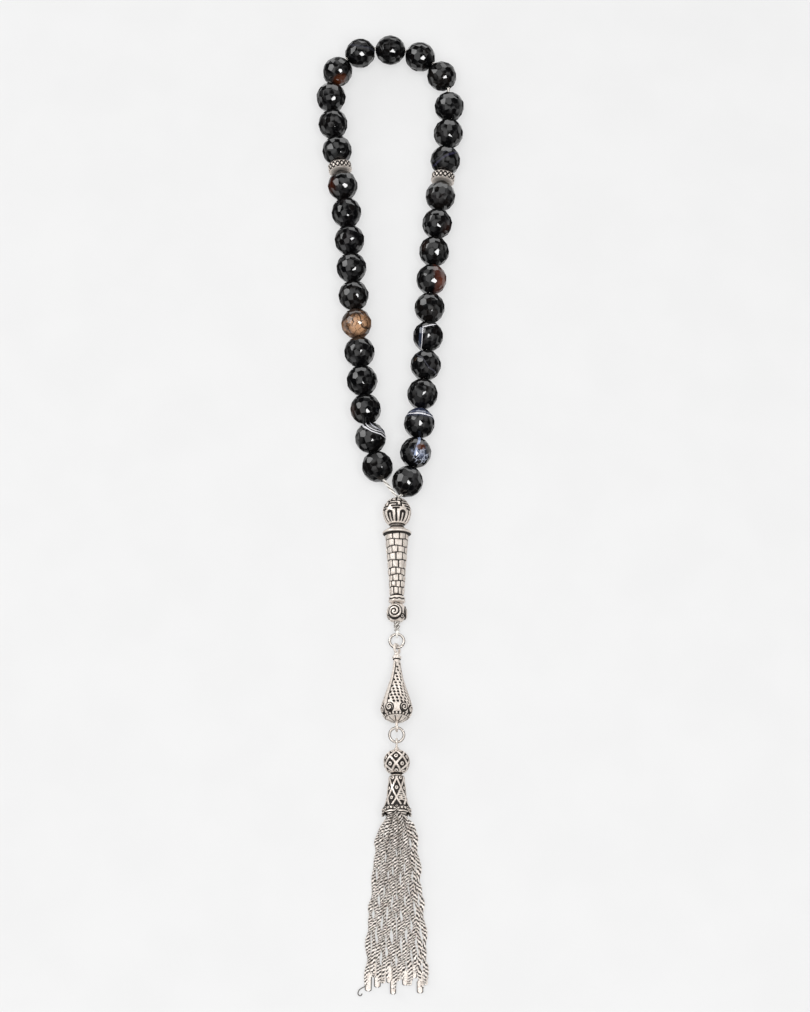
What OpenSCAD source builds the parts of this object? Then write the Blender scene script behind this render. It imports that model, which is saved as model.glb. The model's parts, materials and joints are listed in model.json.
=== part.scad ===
// Misbaha: 33 faceted agate beads on a thread, two spacers, a silver imame and a chain tassel.
// It lies on a flat surface at z = 0, with the bead loop towards +Y and the tassel towards -Y.
// The origin is on that surface, in the middle of the part's outline.

/* [Beads] */
// Diameter over the corners of a faceted bead
bead_d = 9.75; // [9:0.05:9.8]
// Distance between the centres of two neighbouring beads
pitch = 9.8; // [9.8:0.02:9.9]
// Extra room between the beads round the top bend
bend_gap = 0.3; // [0:0.1:0.5]
// Extra room between the beads of the right side
side_gap = 0.1; // [0:0.05:0.15]
// Bore through a bead, a spacer and the silver beads
bore_d = 1.6; // [1.5:0.1:1.8]
// Facets around a bead
facets = 10; // [8:2:14]
// Bare thread beside bead 20, which that bead can slide over
slack = 1.8; // [1.4:0.1:2]

/* [Thread] */
// Diameter of the thread
thread_d = 0.9; // [0.7:0.05:1]
// Distance from the mouth of the imame to the centre of bead 1
lead_in = 11.7; // [11.5:0.1:12.5]

/* [Spacers] */
// Length of a spacer along the thread
spacer_w = 2.9; // [2.6:0.1:3]
// Diameter of a spacer
spacer_d = 7.5; // [7:0.1:8.5]

/* [Imame] */
// Widest diameter of the egg-shaped bead at the top
imame_ball_d = 8.8; // [8.4:0.1:9]
// Diameter of the tower's flange
flange_d = 9; // [8.6:0.1:9.4]
// Diameter of the scroll bead below the tower
scroll_d = 6.2; // [6:0.1:6.6]

/* [Drop and rings] */
// Outer diameter of a jump ring
ring_d = 5.1; // [5:0.1:5.3]
// Wire of a jump ring
ring_wire = 0.8; // [0.7:0.05:0.85]
// Widest diameter of the drop
drop_d = 9.6; // [9:0.1:10]

/* [Tassel] */
// Diameter of the filigree ball
ball_d = 7.7; // [7.4:0.1:8]
// Diameter of the cap's mouth
cap_d = 8.3; // [8.2:0.1:8.6]
// Thickness of the cap's wall
cap_wall = 0.45; // [0.4:0.05:0.5]
// Diameter that a twisted chain strand fills
strand_d = 1.1; // [1:0.05:1.15]
// Length of the middle strand below the cap
strand_len = 51; // [45:1:55]

/* [Hidden] */
$fn = 48;
beads = 33;
strands = 12;
bead_r = bead_d / 2;
bore_r = bore_d / 2;
thread_r = thread_d / 2;
gap = 0.15;                  // between neighbours that turn on their own
left_spacer_after = 11;      // a spacer follows this bead ...
right_spacer_after = 22;     // ... and this one
slack_after = 19;
bend_from = 15;              // the top bend runs from this bead to bead 19

// Route of the loop, by hand: from the imame's mouth up the left side and down the right side.
mouth = [2.5, -5];
route = [
    mouth, [-3.5, 5], [-7.5, 25.5], [-9.5, 45], [-11.5, 65], [-13, 85], [-15.5, 105], [-18.5, 125],
    [-19, 137], [-15.5, 147], [-8, 151.5], [1.5, 152], [11, 149], [17.5, 141.5], [19.5, 130.5],
    [18.5, 115], [16, 95], [13.5, 70], [12, 45], [10, 25], [8, 8], [5.5, -0.5], mouth];

// A point on the route: u counts the route's own points, with a smooth curve between them.
function pick(i) = route[min(max(i, 0), len(route) - 1)];
function curve(a, b, c, d, t) =
    0.5 * (2 * b + (c - a) * t + (2 * a - 5 * b + 4 * c - d) * t * t + (3 * b - 3 * c + d - a) * t * t * t);
function at(u) = let (i = floor(u)) curve(pick(i - 1), pick(i), pick(i + 1), pick(i + 2), u - i);

// The next place along the route that is a straight distance d from the place u.
function halve(u, d, lo, hi, n) = n == 0 ? hi : let (m = (lo + hi) / 2)
    norm(at(m) - at(u)) < d ? halve(u, d, m, hi, n - 1) : halve(u, d, lo, m, n - 1);
function next_u(u, d) = halve(u, d, u, u + 1.6, 24);

function spacing(i) = pitch
    + (i == left_spacer_after || i == right_spacer_after ? spacer_w + gap : 0)
    + (i == slack_after ? slack : 0)
    + (i >= bend_from && i < slack_after ? bend_gap : 0)
    + (i > slack_after ? side_gap : 0);
bead_u = [for (i = 1, u = next_u(0, lead_in); i <= beads; u = next_u(u, spacing(i)), i = i + 1) u];
// Places 1 to 33 are the beads; 0 and 34 are the imame's mouth.
bead_xy = concat([mouth], [for (u = bead_u) at(u)], [mouth]);

function unit(v) = v / norm(v);
function level(p, z = bead_r) = [p.x, p.y, z];
function bead_centre(i) = level(bead_xy[i]);
function bead_axis(i) = unit(level(bead_xy[i + 1], 0) - level(bead_xy[i - 1], 0));
function spacer_centre(i) = (bead_centre(i) + bead_centre(i + 1)) / 2;
function spacer_axis(i) = unit(bead_centre(i + 1) - bead_centre(i));

// The thread runs straight through each bore and bends between the beads.
bend_in = 0.45;
hold = bead_r - bend_in;
thread_end = 1.5;            // the two ends of the loop stop this far from the imame's mouth
first_hole = bead_centre(1) - hold * bead_axis(1);
last_hole = bead_centre(beads) + hold * bead_axis(beads);
function from_mouth(p) = level(mouth) + thread_end * unit(p - level(mouth));
loop_path = concat(
    [from_mouth(first_hole)],
    [for (i = [1 : beads], side = [-1, 1]) bead_centre(i) + side * hold * bead_axis(i)],
    [from_mouth(last_hole)]);

// Stations along the imame, in mm below its mouth.
flange_at = 11.5;
scroll_at = 37.1;
imame_tilt = asin((flange_d - scroll_d) / 2 / (scroll_at - flange_at));
mouth_z = flange_d / 2 + flange_at * sin(imame_tilt);
knot_y = -41.2;
knot_r = 1.2;
eye_y = -43.4;
eye_z = 2.2;
thread_eye = [1, 0.28];      // radius of the loop and of its thread

// Rings: radius to the middle of the wire.
ring_r = (ring_d - ring_wire) / 2;
ring_w = ring_wire / 2;
upper_ring_y = eye_y - ring_r;

// Drop, measured from the centre of its upper eye along its own axis.
drop_eye = [1.45, 0.42];
drop_foot_eye = [1.35, 0.42];
drop_y = upper_ring_y - ring_r - 0.4;
drop_widest = 19.5;
drop_foot = 25.3;
drop_tilt = asin((drop_d / 2 - eye_z) / drop_widest);
foot_eye_y = drop_y - drop_foot * cos(drop_tilt);
foot_eye_z = eye_z + drop_foot * sin(drop_tilt);

// Tassel head, measured from the centre of the pin's eye along its own axis.
pin_eye = [1.3, 0.35];
pin_r = 0.4;
pin_loop = [1.5, 0.35];
pin_loop_at = 14.9;
ball_at = 5.85;
cap_at = 9.85;
cap_mouth_at = 21.9;
head_tilt = asin((cap_d - ball_d) / 2 / (cap_mouth_at - ball_at));
pin_z = ball_d / 2 - ball_at * sin(head_tilt);

// The lower ring slopes from the drop's lower eye down to the pin's eye.
ring_top = [0, foot_eye_y - 0.4, foot_eye_z - 0.12];
ring_low_z = pin_z + 0.1;
ring_slope = asin((ring_top.z - ring_low_z) / 2 / ring_r);
lower_ring_at = ring_top - ring_r * [0, cos(ring_slope), sin(ring_slope)];
pin_y = ring_top.y - 2 * ring_r * cos(ring_slope) - 0.4;

// Strands: three rows of four in the cap's mouth, which fan out and settle on the floor.
strand_r = strand_d / 2;
strand_top_r = 0.48;
root_r = 0.35;
mouth_y = pin_y - cap_mouth_at * cos(head_tilt);
strand_top_y = mouth_y + 1.4;
strand_top_z = cap_d / 2 - 0.02;
root_top_y = pin_y - pin_loop_at - pin_loop[0] - 0.4;
row_step = 1.1;
// Half of the fan's width and the height of its three rows, by distance below the strands' top.
fan = [
    // distance, half width, lowest row, middle row, upper row
    [0, 2, strand_top_z - row_step, strand_top_z, strand_top_z + row_step],
    [1.6, 2.35, strand_top_z - row_step - 0.1, strand_top_z, strand_top_z + row_step],
    [6, 5, 1.8, 3, 4.2],
    [12, 5.9, 0.75, 1.85, 2.95],
    [22, 6.7, 0.6, 1.4, 2.3],
    [36, 8, 0.6, 1.1, 1.6],
    [60, 8.6, 0.6, 0.9, 1.3]];
function side_of(k) = -1 + 2 * (k - 1) / (strands - 1);
function row_of(k) = (k - 1) % 3;
function strand_tip(k) = strand_len + 1.9 * sin(137 * k) + 0.8 * cos(61 * k);
function fan_row(s) = [for (c = [1 : 4]) lookup(s, [for (f = fan) [f[0], f[c]]])];
function strand_point(k, s) = let (f = fan_row(s)) [side_of(k) * f[0], strand_top_y - s, f[1 + row_of(k)]];
function strand_path(k) = let (tip = strand_tip(k))
    [for (s = [0, 1.6, 6, 12, 22, 36, tip]) strand_point(k, s)];
function root_path(k) = [
    [side_of(k) * 1.35, root_top_y, strand_top_z + (row_of(k) - 1) * 0.85],
    strand_point(k, 0) + [0, 0.25, 0]];

function two(i) = str(i < 10 ? "0" : "", i);
function bead_name(i) = str("bead_", two(i));
function strand_name(k) = str("strand_", two(k));

silver = "#b9b6b0";
agate = "#1d1b1c";
white_thread = "#f2f0ea";
brown_beads = [6, 15, 26];

// A tube along a path of points, with a radius for each point.
function path_dir(p, i) = let (n = len(p) - 1)
    unit((i < n ? unit(p[i + 1] - p[i]) : [0, 0, 0]) + (i > 0 ? unit(p[i] - p[i - 1]) : [0, 0, 0]));
function ring_points(c, dir, r, sides) = let (across = unit(cross(dir, [0, 0, 1])), up = cross(across, dir))
    [for (a = [0 : sides - 1]) c + r * (cos(360 * a / sides) * across + sin(360 * a / sides) * up)];
module tube(path, radii, sides = 8) {
    n = len(path);
    points = [for (i = [0 : n - 1]) each ring_points(path[i], path_dir(path, i), radii[i], sides)];
    sleeve = [for (i = [0 : n - 2], a = [0 : sides - 1]) let (b = (a + 1) % sides, p = i * sides, q = p + sides)
        each [[p + a, p + b, q + b], [p + a, q + b, q + a]]];
    caps = [for (a = [1 : sides - 2]) each
        [[0, a + 1, a], [(n - 1) * sides, (n - 1) * sides + a, (n - 1) * sides + a + 1]]];
    polyhedron(points = points, faces = concat(sleeve, caps));
}

module torus(r, wire) rotate_extrude() translate([r, 0]) circle(r = wire, $fn = 24);

// Turns local +Z to a level direction.
module along(dir) rotate([0, 0, atan2(dir.y, dir.x)]) rotate([0, 90, 0]) children();

// Faceted ball: staggered rows of corners on a sphere, with a flat face at each end of the bore.
rows = [-64, -32, 0, 32, 64];
function corner(row, i) = let (turn = 360 / facets * (i + (row % 2) / 2), lat = rows[row])
    bead_r * [cos(lat) * cos(turn), cos(lat) * sin(turn), sin(lat)];
module faceted_ball() {
    points = [for (row = [0 : len(rows) - 1], i = [0 : facets - 1]) corner(row, i)];
    sides = [for (row = [0 : len(rows) - 2], i = [0 : facets - 1]) let (
        j = (i + 1) % facets, p = row * facets, q = p + facets, even = row % 2 == 0)
        each even ? [[p + i, q + i, p + j], [p + j, q + i, q + j]] : [[p + i, q + i, q + j], [p + i, q + j, p + j]]];
    top = (len(rows) - 1) * facets;
    ends = [for (i = [1 : facets - 2]) each [[0, i, i + 1], [top, top + i + 1, top + i]]];
    polyhedron(points = points, faces = concat(sides, ends));
}

module bead(i) color(search(i, brown_beads) ? "#5a3a26" : agate)
    translate(bead_centre(i)) along(bead_axis(i)) rotate([0, 0, 17 * i]) difference() {
        faceted_ball();
        cylinder(r = bore_r, h = bead_d + 1, center = true);
    }

module spacer(i) color(silver) translate(spacer_centre(i)) along(spacer_axis(i)) {
    collar_r = spacer_d / 2 - 1.2;
    band = spacer_w * 0.62;
    difference() {
        union() {
            cylinder(r = spacer_d / 2, h = band, center = true);
            cylinder(r = spacer_d / 2 - 0.4, h = band + 0.6, center = true);
            cylinder(r = collar_r, h = spacer_w, center = true);
        }
        cylinder(r = bore_r, h = spacer_w + 1, center = true);
    }
}

module loop_cord() color(white_thread) tube(loop_path, [for (p = loop_path) thread_r]);

// The imame's own axis: local +Z runs from its mouth down the tail.
module imame_frame() translate([mouth.x, mouth.y, mouth_z]) rotate([90 + imame_tilt, 0, 0]) children();
module tail_frame() translate([mouth.x, mouth.y, 0]) children();

module imame_ball() color(silver) imame_frame() rotate_extrude() difference() {
    middle = 5.1;
    half_height = 4.7;
    union() {
        polygon([for (a = [-90 : 7.5 : 90]) [imame_ball_d / 2 * cos(a), middle + half_height * sin(a)]]);
        square([1.3, 2]);
        translate([0, 8.4]) square([2.3, 1.8]);
    }
    translate([0, -1]) square([bore_r, 13]);
}

module imame_tower() color(silver) imame_frame() rotate_extrude() difference() {
    flange_r = flange_d / 2;
    polygon([
        [0, 10.35], [3.2, 10.35], [flange_r - 0.3, 10.9], [flange_r, flange_at], [flange_r - 0.4, 12.2],
        [3.3, 12.9], [3.6, 13.6], [3.15, 18], [2.75, 23], [2.4, 28], [2.15, 31.8], [2.5, 32.3],
        [2.6, 33.2], [2.4, 33.9], [0, 33.9]]);
    translate([0, 5]) square([bore_r, 32]);
}

module scroll_bead() color(silver) imame_frame() difference() {
    from = 34.1;
    to = 39.9;
    intersection() {
        translate([0, 0, scroll_at]) sphere(d = scroll_d);
        translate([0, 0, (from + to) / 2]) cube([scroll_d, scroll_d, to - from], center = true);
    }
    translate([0, 0, from - 1]) cylinder(r = bore_r, h = to - from + 2);
}

// The doubled thread through the imame, its knot, and the loop that it ties round the upper ring.
module tail_cord() color(white_thread) {
    knot_s = -knot_y / cos(imame_tilt);
    imame_frame() translate([0, 0, 0.4]) cylinder(r = thread_r + 0.15, h = knot_s - 0.4);
    tail_frame() {
        translate([0, knot_y, mouth_z - knot_s * sin(imame_tilt)]) sphere(r = knot_r);
        translate([0, eye_y, eye_z]) rotate([0, 90, 0]) torus(thread_eye[0], thread_eye[1]);
    }
}

module upper_ring() color(silver)
    tail_frame() translate([0, upper_ring_y, eye_z]) torus(ring_r, ring_w);

module drop_charm() color(silver) tail_frame() translate([0, drop_y, eye_z]) rotate([90 - drop_tilt, 0, 0]) {
    widest = drop_d / 2;
    rotate([0, 0, 30]) rotate([0, 90, 0]) torus(drop_eye[0], drop_eye[1]);
    rotate_extrude() polygon([
        [0, 1.5], [0.8, 1.5], [0.8, 2.3], [1.35, 2.5], [1.35, 3.5], [1, 3.7], [1.3, 6.5], [1.9, 9.5],
        [2.8, 12.5], [3.7, 15.2], [4.5, 17.8], [widest, drop_widest], [4.6, 21.2], [3.7, 22.6],
        [2.2, 23.5], [0, 23.9]]);
    translate([0, 0, drop_foot]) rotate([0, 90, 0]) torus(drop_foot_eye[0], drop_foot_eye[1]);
}

module lower_ring() color(silver)
    tail_frame() translate(lower_ring_at) rotate([ring_slope, 0, 0]) torus(ring_r, ring_w);

// The tassel head's axis: local +Z runs from the pin's eye to the cap's mouth.
module head_frame() tail_frame() translate([0, pin_y, pin_z]) rotate([90 - head_tilt, 0, 0]) children();

module tassel_pin() color(silver) head_frame() {
    shaft_end = pin_loop_at - pin_loop[0];
    rotate([0, 90, 0]) torus(pin_eye[0], pin_eye[1]);
    translate([0, 0, pin_eye[0]]) cylinder(r = pin_r, h = shaft_end - pin_eye[0]);
    translate([0, 0, pin_loop_at]) rotate([90, 0, 0]) torus(pin_loop[0], pin_loop[1]);
}

module filigree_ball() color(silver) head_frame() translate([0, 0, ball_at]) difference() {
    sphere(d = ball_d);
    cylinder(r = pin_r + 0.1, h = ball_d + 1, center = true);
}

module tassel_cap() color(silver) head_frame() rotate_extrude() difference() {
    mouth_r = cap_d / 2;
    top_r = 2.3;
    polygon([
        [0, cap_at], [top_r - 0.4, cap_at], [top_r, cap_at + 0.5], [2.45, 12], [2.7, 15], [3.2, 17.8],
        [mouth_r, 21.2], [mouth_r, cap_mouth_at], [0, cap_mouth_at]]);
    square([pin_r + 0.1, cap_mouth_at]);
    polygon([
        [0, cap_at + 0.8], [top_r - cap_wall, cap_at + 0.8], [2.45 - cap_wall, 12], [2.7 - cap_wall, 15],
        [3.2 - cap_wall, 17.8], [mouth_r - cap_wall, 21.2], [mouth_r - cap_wall, cap_mouth_at + 1],
        [0, cap_mouth_at + 1]]);
}

// The top links of the strands, gathered on the pin's loop inside the cap.
module strand_roots() color(silver) tail_frame()
    for (k = [1 : strands]) tube(root_path(k), [root_r, root_r]);

module strand(k) color(silver) tail_frame()
    tube(strand_path(k), [for (i = [0 : 6]) i < 2 ? strand_top_r : strand_r]);

loop_cord();
for (i = [1 : beads]) bead(i);
spacer(left_spacer_after);  // spacer_left
spacer(right_spacer_after);  // spacer_right
tail_cord();
imame_ball();
imame_tower();
scroll_bead();
upper_ring();
drop_charm();
lower_ring();
tassel_pin();
filigree_ball();
tassel_cap();
strand_roots();
for (k = [1 : strands]) strand(k);
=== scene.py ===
"""Looks of the misbaha: faceted agate beads, antique silver imame, drop and tassel, white thread."""
import json
import math

import bmesh
import bpy
import numpy as np
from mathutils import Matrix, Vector


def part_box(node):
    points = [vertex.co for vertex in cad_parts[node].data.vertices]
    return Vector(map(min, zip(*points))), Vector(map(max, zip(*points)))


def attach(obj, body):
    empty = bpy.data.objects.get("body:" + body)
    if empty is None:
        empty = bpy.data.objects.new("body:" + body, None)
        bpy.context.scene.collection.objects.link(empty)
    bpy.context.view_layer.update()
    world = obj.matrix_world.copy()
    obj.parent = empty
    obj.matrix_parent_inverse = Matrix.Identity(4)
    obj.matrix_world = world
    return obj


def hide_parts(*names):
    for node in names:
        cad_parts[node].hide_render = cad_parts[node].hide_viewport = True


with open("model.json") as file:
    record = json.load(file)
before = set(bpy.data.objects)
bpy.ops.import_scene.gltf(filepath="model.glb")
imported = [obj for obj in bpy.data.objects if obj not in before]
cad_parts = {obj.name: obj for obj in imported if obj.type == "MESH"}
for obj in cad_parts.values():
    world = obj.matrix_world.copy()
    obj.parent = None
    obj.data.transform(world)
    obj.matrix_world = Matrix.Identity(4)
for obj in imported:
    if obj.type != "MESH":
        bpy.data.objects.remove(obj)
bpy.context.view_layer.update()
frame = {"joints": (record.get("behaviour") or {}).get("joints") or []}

MM = 0.001
TAU = 2 * math.pi
JOINTS = {j["name"]: j for j in frame["joints"]}


# ---------------- camera
# Directions to the camera's right, up in its view and towards it.
ELEVATION = math.radians(70)
RIGHT = np.array([1.0, 0, 0])
UP = np.array([0, math.sin(ELEVATION), math.cos(ELEVATION)])
TOWARDS = np.array([0, -math.cos(ELEVATION), math.sin(ELEVATION)])
AIM = np.array([0.00498, -0.00797, 0.005])
DISTANCE = 0.780


def seen(right, up, towards):
    return right * RIGHT + up * UP + towards * TOWARDS


def add_camera():
    data = bpy.data.cameras.new("camera")
    data.lens = 90
    data.sensor_width = 36
    data.clip_start = 0.01
    camera = bpy.data.objects.new("camera", data)
    camera.location = Vector(AIM + DISTANCE * TOWARDS)
    camera.rotation_euler = (math.radians(90) - ELEVATION, 0, 0)
    bpy.context.scene.collection.objects.link(camera)
    bpy.context.scene.camera = camera


add_camera()
# The small lamp that gives the beads their glints stands a little to the right of the viewer.
GLINT = AIM + DISTANCE * seen(0.342, 0, 0.94)


# ---------------- small maths
def ramp(low, high, x):
    """0 below low, 1 above high, smooth between."""
    t = np.clip((np.asarray(x, float) - low) / (high - low), 0, 1)
    return t * t * (3 - 2 * t)


def fold(x):
    """Distance to the nearest whole number."""
    return np.abs((x + 0.5) % 1 - 0.5)


def wrap(angle):
    """An angle brought to -pi..pi."""
    return (angle + math.pi) % TAU - math.pi


def unit(v):
    v = np.asarray(v, float)
    return v / np.linalg.norm(v, axis=-1, keepdims=True)


def smooth_path(points, step):
    """Even samples, step apart, of a Catmull-Rom curve through the points."""
    p = np.asarray(points, float)
    p = np.vstack([2 * p[0] - p[1], p, 2 * p[-1] - p[-2]])
    out = []
    for a, b, c, d in zip(p, p[1:], p[2:], p[3:]):
        t = np.linspace(0, 1, 12, endpoint=False)[:, None]
        out.append(0.5 * (2 * b + (c - a) * t + (2 * a - 5 * b + 4 * c - d) * t**2
                          + (3 * b - 3 * c + d - a) * t**3))
    fine = np.vstack(out + [p[-2:-1]])
    arc = np.concatenate([[0], np.cumsum(np.linalg.norm(np.diff(fine, axis=0), axis=1))])
    at = np.linspace(0, arc[-1], max(2, round(arc[-1] / step)) + 1)
    return at, np.stack([np.interp(at, arc, fine[:, k]) for k in range(3)], 1)


def about(turn, side, up):
    """Directions at each turn about each point of a path."""
    return np.cos(turn)[..., None] * side[:, None] + np.sin(turn)[..., None] * up[:, None]


def sweep_frames(path):
    """Tangent, sideways and upward directions along a path that is never vertical."""
    tangent = unit(np.gradient(path, axis=0))
    side = unit(np.cross(tangent, [0, 0, 1]))
    return tangent, side, np.cross(side, tangent)


# ---------------- materials
class Graph:
    """Short calls for the nodes of one material or world."""

    def __init__(self, owner):
        owner.use_nodes = True
        self.owner, self.tree = owner, owner.node_tree
        self.shader = self.tree.nodes.get("Principled BSDF") or self.tree.nodes["Background"]

    def put(self, socket, value):
        if isinstance(value, bpy.types.NodeSocket):
            self.tree.links.new(value, socket)
        else:
            socket.default_value = value

    def node(self, kind, inputs=(), **settings):
        n = self.tree.nodes.new("ShaderNode" + kind)
        for key, value in settings.items():
            setattr(n, key, value)
        for key, value in dict(inputs).items():
            self.put(n.inputs[key], value)
        return n

    def shade(self, **inputs):
        for key, value in inputs.items():
            self.put(self.shader.inputs[key.replace("_", " ")], value)

    def position(self):
        """Object coordinates in millimetres."""
        coordinates = self.node("TexCoord").outputs["Object"]
        return self.node("VectorMath", {0: coordinates, "Scale": 1000.0}, operation="SCALE").outputs[0]

    def vector(self, operation, a, b):
        """A vector, or a number from DOT_PRODUCT and DISTANCE."""
        n = self.node("VectorMath", {0: a, 1: b}, operation=operation)
        return n.outputs["Value" if operation in ("DOT_PRODUCT", "DISTANCE") else 0]

    def noise(self, where, scale, detail=3.0, rough=0.55, distortion=0.0):
        return self.node("TexNoise", {"Vector": where, "Scale": scale, "Detail": detail,
                                      "Roughness": rough, "Distortion": distortion}).outputs[0]

    def math(self, operation, a, b=0.0):
        return self.node("Math", {0: a, 1: b}, operation=operation).outputs[0]

    def fit(self, value, low, high, to_low=0.0, to_high=1.0, soft=True):
        n = self.node("MapRange", {"Value": value, "From Min": low, "From Max": high,
                                   "To Min": to_low, "To Max": to_high})
        n.interpolation_type = "SMOOTHSTEP" if soft else "LINEAR"
        return n.outputs[0]

    def mix(self, share, a, b):
        n = self.tree.nodes.new("ShaderNodeMix")
        n.data_type = "RGBA"
        for index, value in ((0, share), (6, a), (7, b)):
            self.put(n.inputs[index], value)
        return n.outputs[2]

    def bump(self, height, distance, strength=1.0):
        n = self.node("Bump", {"Height": height, "Distance": distance, "Strength": strength})
        self.shade(Normal=n.outputs[0])


def rgb(code, alpha=1.0):
    """A linear colour from an sRGB hex code."""
    parts = [int(code[i:i + 2], 16) / 255 for i in (0, 2, 4)]
    return tuple(c / 12.92 if c <= 0.04045 else ((c + 0.055) / 1.055) ** 2.4 for c in parts) + (alpha,)


def silver_material(name, bright, rough, grain, metallic=0.64):
    """Antiqued silver, rubbed bright on the high parts, with a cast grain. It darkens where its per-point
    darkening attribute is high: patina in the hollows, and painted shade on the sides of the rings' wire and
    under the ladder rungs at some strand ends.
    """
    g = Graph(bpy.data.materials.new(name))
    where = g.position()
    cavity = g.node("Attribute", attribute_name="cavity").outputs["Fac"]
    clouds = g.noise(where, 0.9, 4.0)
    fine = g.noise(where, 6.0, 3.0, 0.6)
    tarnish = g.fit(clouds, 0.45, 0.75, 0.0, 0.5)
    body = g.mix(tarnish, rgb(bright), rgb("c2ab9c"))
    body = g.mix(g.fit(fine, 0.45, 0.75, 0.0, 0.3), body, rgb("8e8078"))
    dark = g.math("MULTIPLY", g.fit(cavity, 0.0, 0.75), g.fit(fine, 0.2, 0.9, 1.0, 0.9))
    colour = g.mix(dark, body, rgb("0c0705"))
    g.shade(Base_Color=colour, Metallic=metallic,
            Roughness=g.math("ADD", g.fit(fine, 0.3, 0.8, rough - 0.06, rough + 0.08),
                             g.math("MULTIPLY", cavity, 0.3)))
    g.bump(g.math("ADD", fine, g.math("MULTIPLY", clouds, 0.6)), grain * MM, 0.6)
    return g.owner


SILVER = silver_material("antique_silver", "fef4ea", 0.34, 0.05)
WIRE = silver_material("ring_silver", "f8efe6", 0.2, 0.01)
CHAIN = silver_material("chain_silver", "fff7ef", 0.28, 0.015, 0.5)


def thread_material():
    g = Graph(bpy.data.materials.new("nylon_thread"))
    where = g.position()
    fibres = g.noise(where, 9.0, 4.0, 0.7, 1.2)
    colour = g.mix(g.fit(fibres, 0.35, 0.7), rgb("cfcac2"), rgb("f7f5f1"))
    # Painted shade: in the creases between plies and between the twisted strands, the thread darkens to
    # brown-black.
    painted_crease_shade = g.node("Attribute", attribute_name="cavity").outputs["Fac"]
    colour = g.mix(painted_crease_shade, colour, rgb("3d332b"))
    g.shade(Base_Color=colour, Roughness=g.fit(fibres, 0.3, 0.7, 0.42, 0.62), Sheen_Weight=0.3,
            Sheen_Roughness=0.4, Specular_IOR_Level=0.4)
    g.bump(fibres, 0.04 * MM, 0.8)
    return g.owner


THREAD = thread_material()


def agate_material(name, marks=(), veins=(), base="060607", cloud="17120f", clouds=0.35, seed=0.0):
    """Polished black agate with clouds in it. Marks are painted in order. Their directions and centres are to
    the right, up and towards the camera, in mm. A mark is one of these:
    ("band", direction, offset, half width, colour, strength, wobble) and, if the band ends, the direction
    it runs in and where it begins
    ("patch", centre, radius, soft edge, colour, strength, wobble)
    Veins are (centre, reach, width, colour, strength, scale)."""
    g = Graph(bpy.data.materials.new(name))
    where = g.position()
    shifted = g.vector("ADD", where, (seed, 1.7 * seed, 0.0))
    soft = g.noise(shifted, 0.28, 5.0, 0.6, 0.8)
    fine = g.noise(shifted, 1.1, 4.0, 0.65, 0.5)
    bend = g.noise(shifted, 0.24, 0.3)
    colour = g.mix(g.fit(soft, 0.42, 0.72, 0.0, clouds), rgb(base), rgb(cloud))
    colour = g.mix(g.fit(fine, 0.6, 0.85, 0.0, 0.12), colour, rgb("3a3532"))
    for mark in marks:
        kind, direction, size = mark[0], seen(*mark[1]), mark[2]
        paint, strength, wobble = mark[4], mark[5], mark[6]
        drift = g.math("MULTIPLY", g.math("SUBTRACT", bend if kind == "band" else soft, 0.5), wobble)
        if kind == "band":
            along = g.vector("DOT_PRODUCT", where, tuple(unit(direction)))
            away = g.math("ABSOLUTE", g.math("ADD", g.math("SUBTRACT", along, size), drift))
            share = g.fit(away, mark[3], 1.7 * mark[3], strength, 0.0)
            if len(mark) > 7:
                reach = g.vector("DOT_PRODUCT", where, tuple(seen(*mark[7])))
                share = g.math("MULTIPLY", share, g.fit(reach, mark[8] - 0.2, mark[8] + 0.2))
        else:
            edge = g.math("ADD", g.vector("DISTANCE", where, tuple(direction)), drift)
            share = g.fit(edge, size - mark[3], size + mark[3], strength, 0.0)
        colour = g.mix(share, colour, rgb(paint))
    for centre, reach, width, paint, strength, scale in veins:
        warped = g.vector("ADD", shifted, g.math("MULTIPLY", fine, 1.6))
        cells = g.node("TexVoronoi", {"Vector": warped, "Scale": scale}, feature="DISTANCE_TO_EDGE")
        away = g.vector("DISTANCE", where, tuple(seen(*centre)))
        share = g.math("MULTIPLY", g.fit(cells.outputs["Distance"], 0.3 * width, width, strength, 0.0),
                       g.fit(away, reach - 0.6, reach + 0.6, 1.0, 0.0))
        colour = g.mix(share, colour, rgb(paint))
    g.shade(Base_Color=colour, Roughness=g.fit(fine, 0.3, 0.8, 0.025, 0.075), IOR=1.55,
            Specular_IOR_Level=0.55)
    g.bump(fine, 0.004 * MM, 0.5)
    return g.owner


# ---------------- meshes
def link(name, mesh, material, body, nodes):
    piece = bpy.data.objects.new(name, mesh)
    bpy.context.scene.collection.objects.link(piece)
    mesh.materials.append(material)
    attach(piece, body)
    if nodes:
        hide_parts(*nodes)
    return piece


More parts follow.
